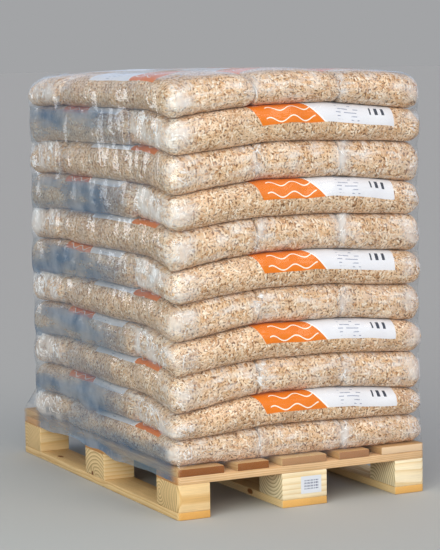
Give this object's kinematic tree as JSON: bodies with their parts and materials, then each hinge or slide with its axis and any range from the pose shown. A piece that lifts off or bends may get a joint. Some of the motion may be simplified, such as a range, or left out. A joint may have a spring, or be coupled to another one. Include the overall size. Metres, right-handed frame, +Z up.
{
  "type": "pallet of sacks",
  "caption": "Wooden four-way pallet stacked with interlocked layers of clear plastic bags of wood pellets, under a clear stretch film.",
  "frame": {"origin": "on the ground, below the middle of the pallet", "axes": "+Z up, +Y from the pallet's 800 mm front to its rear, +X to the right seen from the front"},
  "size_m": [0.8198, 1.2009, 1.2509],
  "materials": {
    "pine_boards": "sawn softwood, new and bare",
    "pine_blocks": "sawn softwood, end grain on the sides",
    "pellet_bags": "clear film filled with wood pellets, with a printed orange and white label",
    "stretch_film": "clear glossy polyethylene film with fine wrinkles",
    "sticker_paper": "matt white paper with plain grey bars",
    "nail_steel": "bright nail heads driven flush into the boards"
  },
  "bodies": {
    "root": {"skid_left": "pine_boards", "skid_centre": "pine_boards", "skid_right": "pine_boards", "stringer_front": "pine_boards", "stringer_middle": "pine_boards", "stringer_rear": "pine_boards", "deck_board_left": "pine_boards", "deck_board_inner_left": "pine_boards", "deck_board_centre": "pine_boards", "deck_board_inner_right": "pine_boards", "deck_board_right": "pine_boards", "block_front_left": "pine_blocks", "block_front_centre": "pine_blocks", "block_front_right": "pine_blocks", "block_middle_left": "pine_blocks", "block_middle_centre": "pine_blocks", "block_middle_right": "pine_blocks", "block_rear_left": "pine_blocks", "block_rear_centre": "pine_blocks", "block_rear_right": "pine_blocks", "pallet_sticker": "sticker_paper", "bag_across_01": "pellet_bags", "bag_across_02": "pellet_bags", "bag_across_03": "pellet_bags", "bag_across_04": "pellet_bags", "bag_across_05": "pellet_bags", "bag_across_06": "pellet_bags", "bag_across_07": "pellet_bags", "bag_across_08": "pellet_bags", "bag_across_09": "pellet_bags", "bag_across_10": "pellet_bags", "bag_across_11": "pellet_bags", "bags_along_01": "pellet_bags", "bags_along_02": "pellet_bags", "bags_along_03": "pellet_bags", "bags_along_04": "pellet_bags", "bags_along_05": "pellet_bags", "bags_along_06": "pellet_bags", "bags_along_07": "pellet_bags", "bags_along_08": "pellet_bags", "bags_along_09": "pellet_bags", "bags_along_10": "pellet_bags", "bags_along_11": "pellet_bags", "stretch_film": "stretch_film"}
  },
  "joints": []
}
